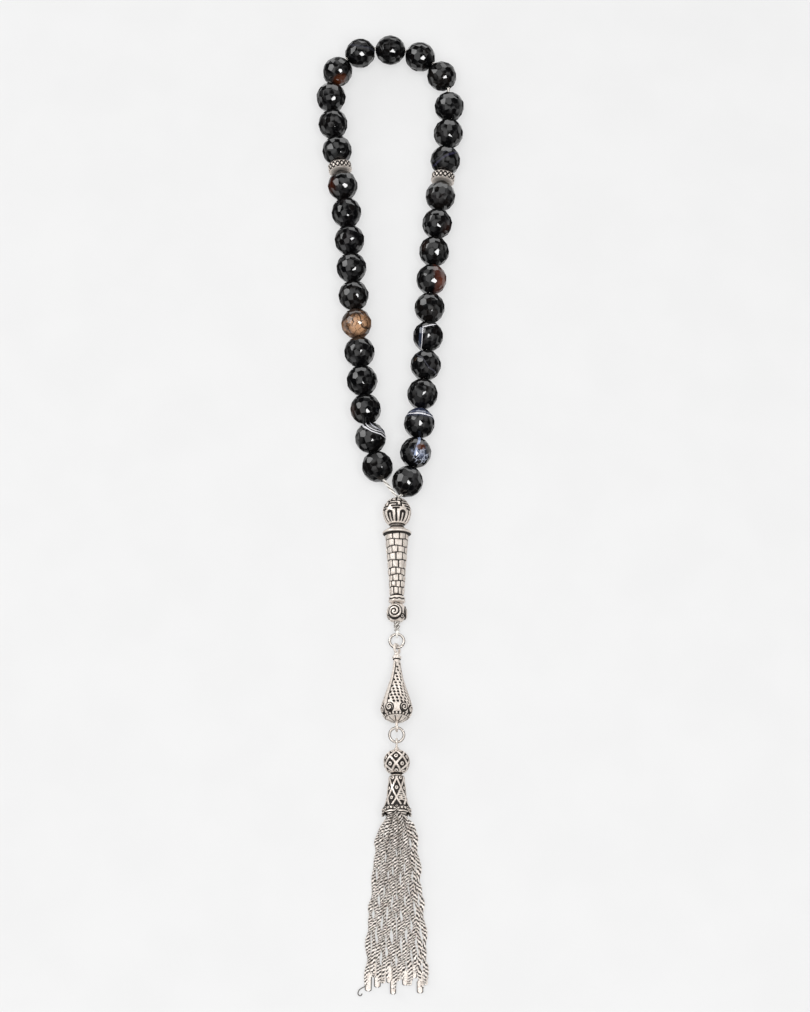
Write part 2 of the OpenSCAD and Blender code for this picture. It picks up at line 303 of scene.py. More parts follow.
class Shape:
    """Grids of points in millimetres, in the row frame, gathered into one mesh."""

    def __init__(self):
        self.points, self.faces, self.cavity, self.count = [], [], [], 0

    def grid(self, points, cavity=None, closed=(False, True)):
        """points has a row for each station; closed says whether the rows and the columns wrap."""
        rows, columns = points.shape[:2]
        index = self.count + np.arange(rows * columns).reshape(rows, columns)
        a = np.vstack([index, index[:1]]) if closed[0] else index
        a = np.hstack([a, a[:, :1]]) if closed[1] else a
        quads = np.stack([a[:-1, :-1], a[:-1, 1:], a[1:, 1:], a[1:, :-1]], -1).reshape(-1, 4)
        self.points.append(points.reshape(-1, 3))
        self.cavity.append(np.zeros(rows * columns) if cavity is None
                           else np.broadcast_to(cavity, (rows, columns)).ravel())
        self.faces += quads.tolist()
        self.count += rows * columns
        return index

    def close(self, index):
        """Flat ends for a grid that runs along a path."""
        self.faces += [index[0][::-1].tolist(), index[-1].tolist()]

    def tube(self, path, radius, sides=12, cavity=None, plies=0, lay=2.2, depth=0.0):
        """A round tube along the path. plies, lay and depth give it the look of a laid cord, with painted
        shade in the grooves between the plies.
        """
        _, side, up = sweep_frames(path)
        arc = np.concatenate([[0], np.cumsum(np.linalg.norm(np.diff(path, axis=0), axis=1))])[:, None]
        turn = np.linspace(0, TAU, sides, endpoint=False)[None, :]
        wave = np.cos(plies * turn - TAU * arc * plies / (lay * max(plies, 1))) if plies else 0 * turn
        r = (np.broadcast_to(radius, (len(path),))[:, None] * (1 + depth * wave))[..., None]
        rows = path[:, None] + r * about(turn, side, up)
        # Painted shade in the ply grooves, added to any darkening passed in.
        shade = 0.9 * np.clip(-wave, 0, 1) ** 0.7 + (cavity or 0) if plies else cavity
        self.close(self.grid(rows, shade))

    def ring(self, centre, across, up, radius, wire, around=64, sides=14, pinch=0.0, edge=0.0):
        """A wire ring in the plane of across and up. pinch thins the wire where its ends meet, and edge
        darkens its inner and outer sides with painted shade."""
        across, up = unit(across), unit(up)
        turn = np.linspace(0, TAU, around, endpoint=False)[:, None]
        tube = np.linspace(0, TAU, sides, endpoint=False)[None, :]
        normal = np.cross(across, up)
        out = np.cos(turn)[..., None] * across + np.sin(turn)[..., None] * up
        w = wire * (1 - pinch * np.exp(-(wrap(turn - 0.9) / 0.05) ** 2))
        rows = np.asarray(centre) + (radius + w * np.cos(tube))[..., None] * out \
            + (w * np.sin(tube))[..., None] * normal
        # Painted shade on the wire's inner and outer sides, as strong as edge.
        self.grid(rows, edge * ramp(0.45, 0.9, np.abs(np.cos(tube))), (True, True))

    def build(self, name, material, body, nodes, floor=0.02):
        points = np.vstack(self.points)
        points[:, 2] = np.maximum(points[:, 2], floor)
        mesh = bpy.data.meshes.new(name)
        mesh.from_pydata((points * MM).tolist(), [], self.faces)
        # The per-point darkening: patina in the silver's hollows, and painted shade in the thread's creases,
        # on the rings' sides and under the ladder rungs at some strand ends.
        mesh.attributes.new("cavity", "FLOAT", "POINT").data.foreach_set(
            "value", np.concatenate(self.cavity).astype(np.float32))
        mesh.shade_smooth()
        mesh.validate()
        return link(name, mesh, material, body, nodes)


class Axis:
    """A straight axis in the row frame: local Z runs down the tail, and local Y points up from the floor."""

    def __init__(self, origin, tilt):
        angle = math.radians(90 + tilt)
        c, s = math.cos(angle), math.sin(angle)
        self.origin = np.asarray(origin, float)
        self.turn = np.array([[1, 0, 0], [0, c, -s], [0, s, c]])

    def place(self, points):
        return points @ self.turn.T + self.origin

    def at(self, t):
        """The point t mm along the axis."""
        return self.place(np.array([0, 0, t]))

    def direction(self, v):
        return self.turn @ np.asarray(v, float)


def stations(profile, step, rounding=0):
    """Even samples of a profile of (distance along the axis, radius); rounding softens its corners."""
    p = np.asarray(profile, float)
    arc = np.concatenate([[0], np.cumsum(np.linalg.norm(np.diff(p, axis=0), axis=1))])
    at = np.linspace(0, arc[-1], round(arc[-1] / step) + 1)
    t, r = np.interp(at, arc, p[:, 0]), np.interp(at, arc, p[:, 1])
    for _ in range(rounding):
        t[1:-1] = (t[:-2] + 2 * t[1:-1] + t[2:]) / 4
        r[1:-1] = (r[:-2] + 2 * r[1:-1] + r[2:]) / 4
    return t, r


def revolve(shape, axis, t, r, around, relief=None, bore=None):
    """A turned body: relief(angle, t, r) gives how far each point is raised and how dark it is.
    With a bore, the inside of the hole closes the body; without one, both ends close to the axis."""
    dt, dr = np.gradient(t), np.gradient(r)
    length = np.hypot(dt, dr) + 1e-9
    angle = np.linspace(0, TAU, around, endpoint=False)[None, :]
    t2, r2 = t[:, None] + 0 * angle, r[:, None] + 0 * angle
    raised, cavity = relief(angle + 0 * t2, t2, r2) if relief else (0 * t2, 0 * t2)
    along, out = (-dr / length)[:, None], (dt / length)[:, None]
    tt, rr = t2 + raised * along, np.maximum(r2 + raised * out, 0.02)
    ends = (bore, bore) if bore else (0.02, 0.02)
    tt = np.vstack([tt[:1], tt, tt[-1:]])
    rr = np.vstack([0 * rr[:1] + ends[0], rr, 0 * rr[:1] + ends[1]])
    cavity = np.vstack([0 * cavity[:1] + 0.8, cavity, 0 * cavity[:1] + 0.8])
    a = np.vstack([angle] * len(tt))
    points = axis.place(np.stack([rr * np.cos(a), rr * np.sin(a), tt], -1))
    shape.grid(points, cavity, (bool(bore), True))


def groove(distance, width):
    """1 in a groove of that half width, 0 outside it."""
    return 1 - ramp(0.45 * width, width, distance)


def strokes(u, v, lines):
    """Distance to the nearest line; u repeats every 1, and is brought to millimetres by scale."""
    best = np.full(np.shape(v), 1e9)
    for u0, v0, u1, v1, scale in lines:
        for shift in (-1, 0, 1):
            ax, ay = (u - u0 - shift) * scale, v - v0
            bx, by = (u1 - u0) * scale, v1 - v0
            share = np.clip((ax * bx + ay * by) / (bx * bx + by * by), 0, 1)
            best = np.minimum(best, np.hypot(ax - share * bx, ay - share * by))
    return best


# ---------------- beads
BEAD_R = 4.875
POLE = 4.86
BORE_R = 0.8
BEAD_COUNT = 33
# Latitude, number of facets and offset of each row. The first three face outwards.
FACET_ROWS = ((0, 16, 0.5), (23, 16, 0), (-23, 16, 0), (43, 12, 0.25), (-43, 12, 0.25),
              (62, 7, 0.1), (-62, 7, 0.6))


def hull(points):
    bm = bmesh.new()
    for p in points:
        bm.verts.new(p)
    bmesh.ops.convex_hull(bm, input=bm.verts)
    loose = [v for v in bm.verts if not v.link_faces]
    bmesh.ops.delete(bm, geom=loose, context="VERTS")
    return bm


def bead_mesh(name, centre, axis, rng):
    """A drilled ball cut with staggered rows of slightly domed facets, with softly rounded edges."""
    # Local Z is the bead's axis, and local Y as near to up as it can be.
    z = unit(axis)
    x = unit(np.cross([0, 0, 1.0], z))
    turn_to_row = np.stack([x, np.cross(z, x), z], 1)
    # Each bead has settled with one facet roughly half way between the glint lamp and the viewer.
    place = centre * MM
    facing = turn_to_row.T @ unit(unit(GLINT - place) + unit(AIM + DISTANCE * TOWARDS - place))
    height = math.degrees(math.asin(facing[2]))
    near = min(FACET_ROWS[:3], key=lambda row: abs(row[0] - height))
    shift = height - near[0] + rng.normal(0, 2.5)
    start = math.atan2(facing[1], facing[0]) - TAU * near[2] / near[1] + math.radians(rng.normal(0, 2.5))
    normals = [(0, 0, 1.0), (0, 0, -1.0)]
    for latitude, count, offset in FACET_ROWS:
        for i in range(count):
            lat = math.radians(latitude + shift * (1 - abs(latitude) / 75) + rng.normal(0, 1.6))
            turn = start + TAU * (i + offset) / count + math.radians(rng.normal(0, 1.8))
            normals.append((math.cos(lat) * math.cos(turn), math.cos(lat) * math.sin(turn), math.sin(lat)))
    depth = [1.0, 1.0] + [1 + rng.normal(0, 0.004) for _ in normals[2:]]
    # Each triangle of the hull of the facets' own points is a corner of the bead.
    dual = hull([np.array(n) / d for n, d in zip(normals, depth)])
    corners = np.array([np.linalg.solve(np.array([v.co for v in face.verts]), np.ones(3))
                        for face in dual.faces])
    dual.free()
    corners *= 1.01 * BEAD_R / np.linalg.norm(corners, axis=1).max()
    corners[:, 2] *= POLE / np.abs(corners[:, 2]).max()
    bm = hull(corners)
    bmesh.ops.dissolve_limit(bm, angle_limit=math.radians(0.5), verts=bm.verts, edges=bm.edges)
    bmesh.ops.bevel(bm, geom=list(bm.edges), offset=0.09, segments=1, profile=0.5, affect="EDGES",
                    offset_type="OFFSET", clamp_overlap=True)
    bm.normal_update()
    # A corner's normal is its facet's, turned a little outwards, so facets are domed and edges shade round.
    largest, soft = {}, {}
    for face in bm.faces:
        outward = face.normal if face.normal.dot(face.calc_center_median()) > 0 else -face.normal
        for v in face.verts:
            if face.calc_area() > largest.get(v, 0):
                largest[v] = face.calc_area()
                soft[v] = (0.8 * outward + 0.2 * v.co.normalized()).normalized()
    inner = []
    for sign in (1, -1):
        end = max(bm.faces, key=lambda f: sign * abs(f.normal.z) * f.calc_center_median().z * f.calc_area())
        height = np.mean([v.co.z for v in end.verts])
        rim = list(end.edges)
        bmesh.ops.delete(bm, geom=[end], context="FACES_ONLY")
        loops = []
        for radius, level in ((BORE_R + 0.1, height), (BORE_R, height - sign * 0.14)):
            ring = [bm.verts.new((radius * math.cos(TAU * k / 24), radius * math.sin(TAU * k / 24), level))
                    for k in range(24)]
            for v in ring:
                outward = Vector((v.co.x, v.co.y, 0)).normalized()
                soft[v] = Vector((0, 0, sign)) if radius > BORE_R else -outward
            loops.append([bm.edges.new((ring[k], ring[(k + 1) % 24])) for k in range(24)])
        bmesh.ops.bridge_loops(bm, edges=rim + loops[0])
        bmesh.ops.bridge_loops(bm, edges=loops[0] + loops[1])
        inner += loops[1]
    bmesh.ops.bridge_loops(bm, edges=inner)
    bm.normal_update()
    for face in bm.faces:
        if face.normal.dot(sum((soft[v] for v in face.verts), Vector())) < 0:
            face.normal_flip()
    bm.verts.index_update()
    shading = [Vector(turn_to_row @ np.array(soft[v])) for v in bm.verts]
    for v in bm.verts:
        v.co = Vector(turn_to_row @ np.array(v.co) * MM)
    mesh = bpy.data.meshes.new(name)
    bm.to_mesh(mesh)
    bm.free()
    mesh.shade_smooth()
    mesh.normals_split_custom_set_from_vertices(shading)
    return mesh


WHITE, SMOKE = "d9d8dc", "33343d"
SPECIAL = {
    2: dict(marks=[
        ("band", (0.5, 0.86, 0), 2.3, 0.12, WHITE, 0.95, 1.6),
        ("band", (0.5, 0.86, 0), 3.0, 0.09, WHITE, 0.8, 1.6),
        ("band", (0.62, 0.78, 0), 3.7, 0.09, "a9aab4", 0.85, 1.6)]),
    3: dict(marks=[("patch", (-4.4, -0.5, 1.5), 2.0, 1.2, "2f170d", 0.6, 2.0)]),
    6: dict(base="3d2a1e", cloud="8d694c", clouds=1.0, marks=[
        ("patch", (0.6, -0.6, 4.2), 2.7, 1.0, "b58c6a", 0.9, 3.5),
        ("patch", (-2.6, 3.0, 2.6), 2.5, 0.9, "201713", 0.95, 3.0),
        ("patch", (0.3, 5.4, 1.5), 2.6, 0.8, "2e2520", 0.9, 2.5),
        ("patch", (3.1, -0.6, 3.0), 0.9, 0.5, "4a3020", 0.7, 5.0),
        ("band", (0.9, 0.3, 0), 2.0, 0.2, "1f130b", 0.9, 5.0)],
            veins=[((0.5, -0.4, 4.4), 4.2, 0.06, "1c110a", 0.9, 0.5)]),
    11: dict(marks=[("patch", (-4.0, -0.2, 2.4), 2.2, 1.4, "3a190d", 0.7, 2.5)]),
    15: dict(marks=[("patch", (0.9, -3.4, 3.2), 2.0, 1.1, "4a2411", 0.85, 3.0)]),
    16: dict(marks=[("band", (0.3, 0.95, 0), 1.6, 0.3, SMOKE, 0.5, 2.5)]),
    22: dict(marks=[("band", (-0.5, 0.86, 0), 0.8, 0.25, "2a2740", 0.6, 2.6),
                    ("band", (-0.5, 0.86, 0), 2.2, 0.12, SMOKE, 0.5, 2.6)]),
    24: dict(marks=[("patch", (3.2, -1.6, 2.8), 1.6, 1.2, "25120b", 0.7, 2.0)]),
    25: dict(marks=[("patch", (-3.2, 1.6, 2.8), 1.6, 1.2, "1d100b", 0.7, 2.0)]),
    26: dict(marks=[("band", (1.0, 0.06, 0), 3.5, 1.9, "44231a", 0.9, 1.5),
                    ("patch", (3.4, -0.6, 3.0), 1.5, 1.0, "5b3022", 0.7, 3.0)]),
    28: dict(marks=[("band", (-0.2, 0.98, 0), 3.06, 0.1, WHITE, 0.9, 0.3, (1.0, 0, 0), -1.6),
                    ("band", (1.0, -0.09, 0), -1.85, 0.08, WHITE, 0.9, 0.3, (0, -1.0, 0), -2.9),
                    ("band", (1.0, -0.09, 0), -2.4, 0.35, "3c4458", 0.5, 0.3, (0, -1.0, 0), -2.7)]),
    29: dict(marks=[("band", (0.7, 0.7, 0), 0.3, 0.13, "4b4b54", 0.45, 1.6)]),
    31: dict(marks=[("band", (0.12, 0.98, -0.3), 3.3, 1.5, "30364a", 0.8, 0.8),
                    ("band", (0.12, 0.98, -0.3), 1.85, 0.14, WHITE, 0.95, 0.8),
                    ("band", (0.12, 0.98, -0.3), 2.7, 0.07, "868da0", 0.8, 0.8)]),
    32: dict(marks=[("patch", (1.5, 0.2, 4.4), 2.3, 0.8, "2c3240", 0.9, 7.0),
                    ("band", (0.97, -0.2, 0), 0.2, 0.32, "8d99b4", 0.9, 1.5, (0, 1.0, 0), -0.9),
                    ("patch", (1.7, 1.6, 4.1), 1.2, 0.5, "45220f", 0.95, 3.0),
                    ("patch", (0.7, -0.5, 4.6), 1.0, 0.6, "8791ab", 0.8, 7.0)],
             veins=[((1.8, -1.2, 4.2), 2.6, 0.09, "b4bac9", 0.7, 0.6)]),
}
PLAIN = [agate_material(f"agate_black_{k}", seed=3.1 * k, clouds=0.2 + 0.15 * k) for k in range(4)]


def bead_place(i):
    """Centre, in mm, and axis of bead i."""
    name = f"bead_{i:02d}"
    if name + "_spin" in JOINTS:
        joint = JOINTS[name + "_spin"]
        return np.array(joint["pos_m"]) / MM, np.array(joint["axis"])
    low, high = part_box(name)
    return np.array((low + high) / 2) / MM, np.array(JOINTS[name + "_slide"]["axis"])


def add_beads():
    rng = np.random.RandomState(33)
    for i in range(1, BEAD_COUNT + 1):
        name = f"bead_{i:02d}"
        centre, axis = bead_place(i)
        mesh = bead_mesh(name + "_facets", centre, axis, rng)
        if i in SPECIAL:
            material = agate_material(f"agate_{i:02d}", seed=1.3 * i, **SPECIAL[i])
        else:
            material = PLAIN[i % len(PLAIN)]
        piece = bpy.data.objects.new(name + "_agate", mesh)
        bpy.context.scene.collection.objects.link(piece)
        mesh.materials.append(material)
        piece.location = Vector(centre * MM)
        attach(piece, name)
        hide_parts(name)


add_beads()


# ---------------- thread
def add_loop_thread():
    """Laid nylon thread through every bead, meeting itself at the imame's mouth."""
    hold = BEAD_R - 0.45
    mouth = np.array(JOINTS["imame_swing"]["pos_m"]) / MM
    points = [mouth + [0, 0, -0.1]]
    places = [bead_place(i) for i in range(1, BEAD_COUNT + 1)]
    for i, (centre, axis) in enumerate(places):
        onward = places[min(i + 1, BEAD_COUNT - 1)][0] - places[max(i - 1, 0)][0]
        way = axis if np.dot(axis, onward) > 0 else -axis
        points += [centre - hold * way, centre, centre + hold * way]
    points.append(mouth + [0, 0, -0.1])
    arc, path = smooth_path(points, 0.22)
    # It thins towards the mouth, which leaves the imame room to swing.
    radius = 0.32 + 0.15 * ramp(0, 2.5, np.minimum(arc, arc[-1] - arc))
    shape = Shape()
    # The grooves between the plies carry painted shade.
    shape.tube(path, radius, sides=18, plies=3, lay=2.4, depth=0.14)
    shape.build("loop_thread", THREAD, "loop", ["loop_cord"])


add_loop_thread()


# ---------------- spacers
SPACER_R, SPACER_W = 3.75, 2.9


def add_spacer(side):
    joint = JOINTS[f"spacer_{side}_spin"]
    centre, way = np.array(joint["pos_m"]) / MM, np.array(joint["axis"])
    half, band = SPACER_W / 2, 1.3
    profile = [(-half, 1.7), (-half, 3.0), (-band - 0.05, 3.15), (-band, 3.55), (-band + 0.15, SPACER_R),
               (band - 0.15, SPACER_R), (band, 3.55), (band + 0.05, 3.15), (half, 3.0), (half, 1.7)]
    t, r = stations(profile, 0.05, 1)

    def hatch(angle, t, r):
        inside = 1 - ramp(0.92, 1.0, np.abs(t))
        a = angle * 16 / TAU
        p, q = a + t / 2.0, a - t / 2.0
        near = np.minimum(fold(p), fold(q)) * 1.2
        cut = groove(near, 0.34) * inside * (r > 3.5)
        edge = groove(np.abs(np.abs(t) - 1.04), 0.12)
        ends = (r < 3.3) * 0.25
        return -0.26 * cut - 0.1 * edge, np.clip(cut + 0.8 * edge + ends, 0, 1)

    shape = Shape()
    axis = Axis(centre, 0)
    z = unit(way)
    x = unit(np.cross([0, 0, 1.0], z))
    axis.turn = np.stack([x, np.cross(z, x), z], 1)
    revolve(shape, axis, t, r, 320, hatch, BORE_R)
    shape.build(f"spacer_{side}_band", SILVER, f"spacer_{side}", [f"spacer_{side}"])


add_spacer("left")
add_spacer("right")

# ---------------- the tail's axes, in mm
MOUTH = np.array(JOINTS["imame_swing"]["pos_m"]) / MM
TAIL_X = MOUTH[0]
IMAME = Axis(MOUTH, 3.135)
EYE_Z = 2.2
KNOT_Y, THREAD_EYE_Y = -41.2, -43.4
UPPER_RING = np.array(JOINTS["drop_swing"]["pos_m"]) / MM
LOWER_RING = np.array(JOINTS["tassel_swing"]["pos_m"]) / MM
RING_R, RING_WIRE = 2.15, 0.4
RING_SLOPE = math.radians(22.03)
DROP_TILT = -7.662
DROP_EYE_Y = UPPER_RING[1] - RING_R - RING_WIRE
DROP = Axis([TAIL_X, DROP_EYE_Y, EYE_Z], DROP_TILT)
HEAD_TILT, HEAD_Z = -1.071, 3.741
HEAD = Axis([TAIL_X, LOWER_RING[1] - RING_R * math.cos(RING_SLOPE) - RING_WIRE, HEAD_Z], HEAD_TILT)
PIN_LOOP_T, PIN_LOOP_R = 14.9, 1.5


# ---------------- imame
def add_imame_ball():
    """Egg-shaped bead: courses of bricks and a key pattern above, arched windows with posts below."""
    radius, half, middle = 4.32, 4.7, 5.1
    lat = np.linspace(-1.2, 1.12, 170)
    t, r = middle + half * np.sin(lat), radius * np.cos(lat)
    t = np.concatenate([[0.5, 0.5, 0.58], t, [9.5, 9.8, 10.1, 10.15]])
    r = np.concatenate([[0.9, 1.1, 1.35], r, [2.05, 2.35, 2.3, 1.9]])
    repeats = 6

    def relief(angle, t, r):
        scale = TAU * np.maximum(r, 0.8) / repeats
        u = (angle - math.radians(93)) / TAU * repeats + 0.5
        rows = [(0, 2.15, 1, 2.15), (0.5, 0.5, 0.5, 2.15), (0.0, 0.5, 0.0, 2.15)]
        key = [(0.12, 2.15, 0.12, 3.95), (0.12, 3.95, 0.82, 3.95), (0.45, 3.05, 1.0, 3.05),
               (0.45, 3.05, 0.45, 3.4)]
        post = [(0.5, 4.9, 0.5, 8.4), (0.3, 4.75, 0.7, 4.75)]
        line = strokes(u, t, [(*c, scale) for c in rows + key + post])
        cut = groove(line, 0.4) * ramp(0.4, 0.6, t)
        side = fold(u) * scale
        width = 0.26 * scale
        arch_top = 5.1 + 1.1 * (1 - np.sqrt(np.clip(1 - (side / np.maximum(width, 0.01)) ** 2, 0, 1)))
        window = (1 - ramp(width - 0.25, width, side)) * ramp(arch_top, arch_top + 0.3, t) \
            * (1 - ramp(8.4, 8.8, t))
        bar = groove(np.abs(side - 0.1), 0.2) * ramp(6.0, 6.3, t) * window
        sill = groove(np.abs(t - 9.1), 0.2)
        foot = 0.75 * groove(np.abs(t - 9.75), 0.6)
        carved = ramp(0.6, 0.8, t) * (1 - ramp(9.2, 9.4, t))
        low = np.maximum.reduce([cut, window - bar, 0.9 * sill])
        raised = carved * (0.1 - 0.34 * cut - 0.5 * window + 0.34 * bar - 0.2 * sill) - 0.12 * foot
        return raised, np.clip(low + 0.9 * foot, 0, 1)

    shape = Shape()
    revolve(shape, IMAME, t, r, 420, relief, BORE_R)
    shape.build("imame_ball_carved", SILVER, "imame_ball", ["imame_ball"])


def add_tower():
    """Tower: a saucer-like flange, nine courses of bricks, and a double collar."""
    profile = [(10.35, 1.4), (10.35, 2.7), (10.7, 3.3), (11.1, 3.95), (11.5, 4.4), (11.8, 4.48),
               (12.05, 4.35), (12.25, 3.8), (12.35, 3.5), (12.5, 3.55), (14.5, 3.42), (18, 3.12),
               (23, 2.72), (28, 2.37), (31.5, 2.14), (31.75, 2.02), (32.0, 2.25), (32.3, 2.5),
               (32.65, 2.5), (32.85, 2.35), (33.05, 2.5), (33.45, 2.6), (33.75, 2.35), (33.85, 1.4)]
    t, r = stations(profile, 0.062, 2)
    rows, columns, first, last = 9, 9, 12.45, 31.6
    height = (last - first) / rows
    rng = np.random.RandomState(11)
    lift, tilt, shift = rng.rand(rows, columns), rng.rand(rows, columns) - 0.5, rng.rand(rows) * 0.12
    courses = np.concatenate([[0], np.cumsum(1 + 0.4 * rng.rand(rows))])
    courses = first + (last - first) * courses / courses[-1]

    def relief(angle, t, r):
        v = np.interp(t + 0.12 * np.sin(3 * angle + 0.9 * t), courses, np.arange(rows + 1))
        row = np.clip(np.floor(v).astype(int), 0, rows - 1)
        v = v - row
        u = (angle - math.radians(90)) / TAU * columns + 0.5 * (row % 2) + shift[row] + 0.22
        u = u + 0.09 * np.sin(TAU * u / 3 + 2.4 * row)
        column = np.floor(u).astype(int) % columns
        u = u - np.floor(u)
        across = np.minimum(u, 1 - u) * TAU * r / columns
        down = np.clip(np.minimum(v, 1 - v), 0, 1) * height
        corner = 0.38
        near = corner - np.hypot(np.maximum(corner - across, 0), np.maximum(corner - down, 0))
        brick = ramp(0.06, 0.36, near)
        wall = ramp(first - 0.1, first + 0.1, t) * (1 - ramp(last - 0.05, last + 0.1, t))
        raised = wall * (brick * (0.18 + 0.12 * lift[row, column] + 0.24 * tilt[row, column] * (u - 0.5)
                                  - 0.1 * (v - 0.5) ** 2) - 0.16)
        # Joints are dark with patina; the vertical joints are darker still, painted shade along the sides of
        # the bricks.
        dark = wall * (1 - ramp(0.06, 0.25, near)) * (0.6 + 0.4 * (across < down) + 0.3 * lift[row, column])
        lip = groove(np.abs(t - 11.3), 0.14) * 0.7
        under = ramp(12.0, 12.1, t) * (1 - ramp(12.4, 12.5, t))
        wavy = groove(np.abs(t - 32.85 - 0.12 * np.sin(9 * angle)), 0.26)
        neck = groove(np.abs(t - 31.75), 0.22)
        raised -= 0.16 * lip + 0.16 * wavy
        return raised, np.clip(dark + 0.9 * lip + under + 0.95 * wavy + 0.95 * neck, 0, 1)

    shape = Shape()
    revolve(shape, IMAME, t, r, 420, relief, BORE_R)
    shape.build("imame_tower_bricks", SILVER, "imame", ["imame_tower"])


def add_scroll_bead():
    """Bead with a volute on each of its three sides."""
    radius, middle = 3.1, 37.0
    t = np.linspace(34.15, 39.85, 130)
    r = radius * (1 - np.abs((t - middle) / 3.05) ** 2.8) ** (1 / 2.8)
    t = np.concatenate([[34.1, 34.1], t, [39.9, 39.9]])
    r = np.concatenate([[0.85, 1.3], r, [1.3, 0.85]])

    def relief(angle, t, r):
        raised, dark = 0 * t - 0.16, 0 * t
        for centre in (106, 226, 346):
            across = -wrap(angle - math.radians(centre)) * (0.35 * r + 0.65 * radius)
            down = (t - middle) * 1.06
            reach, turn = np.hypot(across, down), np.arctan2(down, across)
            pitch = 1.08
            arm = (reach / pitch + turn / TAU + 0.1) % 1
            wall = np.abs(arm - 0.5) * pitch
            cut = groove(wall, 0.34) * ramp(0.15, 0.4, reach)
            disc = 1 - ramp(2.4, 2.55, reach)
            rim = groove(np.abs(reach - 2.65), 0.36)
            raised = raised * (1 - disc) + disc * (0.1 - 0.04 * reach - 0.3 * cut) - 0.2 * rim
            dark = np.maximum(dark * (1 - disc) + disc * cut, rim)
            # A small curl fills the space beside each volute.
            small = np.hypot(across - 2.9, down - 1.55)
            curl = np.maximum(groove(np.abs(small - 0.75), 0.3), groove(small, 0.42))
            dark = np.maximum(dark, curl)
            raised = raised - 0.2 * curl
        return raised, np.clip(dark, 0, 1)

    shape = Shape()
    revolve(shape, IMAME, t, r, 360, relief, BORE_R)
    shape.build("scroll_bead_volutes", SILVER, "scroll_bead", ["scroll_bead"])


def add_tail_thread():
    """The doubled thread through the imame, twisted below it, and its loop round the upper ring."""
    shape = Shape()
    start, out = IMAME.at(0.0), IMAME.at(39.2)
    inside = start + (out - start) * np.linspace(0, 1, 160)[:, None]
    shape.tube(inside, 0.52, sides=18, plies=2, lay=3.0, depth=0.18)
    eye = np.array([TAIL_X, MOUTH[1] + THREAD_EYE_Y, EYE_Z])
    top = np.array([TAIL_X, MOUTH[1] + KNOT_Y - 1.1, EYE_Z + 0.3])
    share = np.linspace(0, 1, 110)
    wind = TAU * 1.6 * share
    spread = 0.4 + 0.32 * np.exp(-((share - 0.5) / 0.16) ** 2)
    for phase in (0, math.pi):
        line = out + (top - out) * share[:, None] + np.stack(
            [spread * np.cos(wind + phase), 0 * share, spread * np.sin(wind + phase)], 1)
        # Painted shade: the twisted pair is darkened a little all over for the shade between its two strands,
        # besides the painted shade in its ply grooves.
        shape.tube(line, 0.38, 14, cavity=0.22, plies=3, lay=1.5, depth=0.12)
    for lean, radius in ((0.05, 1.0), (0.3, 0.93)):
        centre = eye + [0.6 * lean, lean, 0]
        shape.ring(centre, [lean - 0.05, 1, 0.05], [0.4 * lean, 0, 1], radius, 0.27, 64, 12)
    shape.build("tail_thread", THREAD, "imame", ["tail_cord"])


add_imame_ball()
add_tower()
add_scroll_bead()
add_tail_thread()


# ---------------- rings
def add_jump_ring(name, centre, slope):
    shape = Shape()
    up = [0, math.cos(slope), math.sin(slope)]
    # The last argument, 0.95, paints shade on the wire's inner and outer sides.
    shape.ring(centre, [1, 0, 0], up, RING_R, RING_WIRE, 120, 18, 0.3, 0.95)
    shape.build(name + "_wire", WIRE, name, [name])


add_jump_ring("upper_ring", UPPER_RING, 0.0)
add_jump_ring("lower_ring", LOWER_RING, RING_SLOPE)


